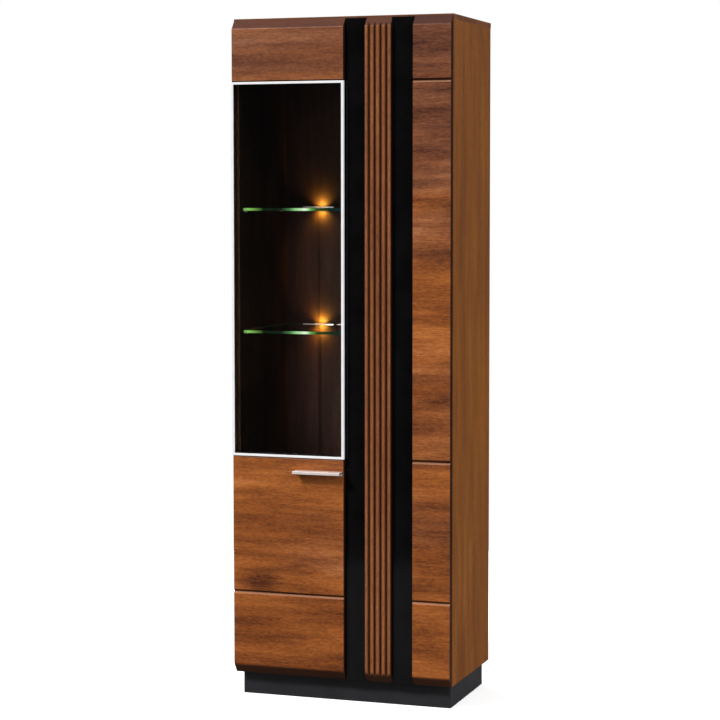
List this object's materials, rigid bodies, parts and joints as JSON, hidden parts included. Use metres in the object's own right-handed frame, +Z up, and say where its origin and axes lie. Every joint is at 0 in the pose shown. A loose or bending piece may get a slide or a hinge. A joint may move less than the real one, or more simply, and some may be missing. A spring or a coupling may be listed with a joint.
{
  "type": "china cabinet with glass door",
  "caption": "Tall narrow china cabinet: framed glass display door over a wooden panel, fluted solid door with black gloss bands, lit glass shelves, recessed plinth.",
  "frame": {"origin": "centre of the bounding box's footprint, on the floor", "axes": "+Z up, +X to the right as one faces the doors, doors face -Y"},
  "size_m": [0.67, 0.447, 2],
  "materials": {
    "side_wood": "satin vertical grain",
    "interior_wood": "dark satin foil",
    "back_board": "dark satin foil",
    "front_wood": "satin stained oak, grain across",
    "fluted_wood": "satin stained oak, grain upright",
    "black_gloss": "high gloss",
    "plinth_black": "satin",
    "raw_block_wood": "sawn softwood",
    "window_black": "satin",
    "trim_aluminium": "satin anodised",
    "pane_glass": "polished",
    "shelf_glass": "polished edges",
    "gasket_rubber": "matte",
    "retainer_black": "matte",
    "handle_steel": "brushed",
    "screw_steel": "zinc plated",
    "pin_steel": "nickel plated",
    "clip_chrome": "satin chrome",
    "led_lens": "lit warm diffuser",
    "lead_rubber": "matte",
    "driver_plastic": "fine texture",
    "grommet_plastic": "fine texture",
    "hinge_steel": "nickel plated",
    "cam_zinc": "die-cast zinc",
    "latch_plastic": "fine texture",
    "plunger_plastic": "fine texture",
    "strike_steel": "plated"
  },
  "bodies": {
    "cabinet": {"side_panel_left": "side_wood", "side_panel_right": "side_wood", "top_board": "side_wood", "bottom_board": "interior_wood", "centre_partition": "interior_wood", "fixed_shelf_left": "interior_wood", "fixed_shelf_right": "interior_wood", "lower_shelf_left": "interior_wood", "lower_shelf_right": "interior_wood", "upper_shelf_right_1": "interior_wood", "upper_shelf_right_2": "interior_wood", "upper_shelf_right_3": "interior_wood", "back_panel_left": "back_board", "back_panel_right": "back_board", "plinth_front": "plinth_black", "plinth_back": "plinth_black", "plinth_left": "plinth_black", "plinth_right": "plinth_black", "plinth_blocks": "raw_block_wood", "glass_shelf_upper": "shelf_glass", "glass_shelf_lower": "shelf_glass", "wood_shelf_pins": "pin_steel", "glass_shelf_pins": "pin_steel", "led_clip_upper": "clip_chrome", "led_clip_lower": "clip_chrome", "led_lenses": "led_lens", "led_lead_upper": "lead_rubber", "led_lead_lower": "lead_rubber", "led_driver": "driver_plastic", "cable_grommet": "grommet_plastic", "hinge_arms_left": "hinge_steel", "hinge_arms_right": "hinge_steel", "hinge_plates_left": "hinge_steel", "hinge_plates_right": "hinge_steel", "cam_fittings": "cam_zinc", "magnet_catch": "latch_plastic", "latch_housing": "latch_plastic"},
    "left_door": {"left_door_top_panel": "front_wood", "left_door_lower_panel": "front_wood", "window_liner_stiles": "window_black", "window_liner_rails": "window_black", "window_trim_stiles": "trim_aluminium", "window_trim_rails": "trim_aluminium", "window_glass": "pane_glass", "glazing_gasket": "gasket_rubber", "glass_retainers": "retainer_black", "door_handle": "handle_steel", "handle_screws": "screw_steel", "hinge_cups_left": "hinge_steel", "catch_strike": "strike_steel"},
    "right_door": {"black_panel_inner": "black_gloss", "black_panel_outer": "black_gloss", "fluted_strip": "fluted_wood", "right_door_column": "front_wood", "hinge_cups_right": "hinge_steel", "latch_strike": "strike_steel"},
    "latch_plunger": {"latch_plunger": "plunger_plastic"}
  },
  "joints": [
    {"name": "left_door_hinge", "type": "hinge", "parent": "cabinet", "child": "left_door", "pos_m": [-0.327, -0.183, 1], "axis": [0, 0, -1], "range_deg": [0, 95]},
    {"name": "right_door_hinge", "type": "hinge", "parent": "cabinet", "child": "right_door", "pos_m": [0.327, -0.183, 1], "axis": [0, 0, 1], "range_deg": [0, 95]},
    {"name": "latch_plunger_slide", "type": "slide", "parent": "cabinet", "child": "latch_plunger", "axis": [0, 1, 0], "range_m": [0, 0.003], "stiffness_N_per_m": 300}
  ]
}
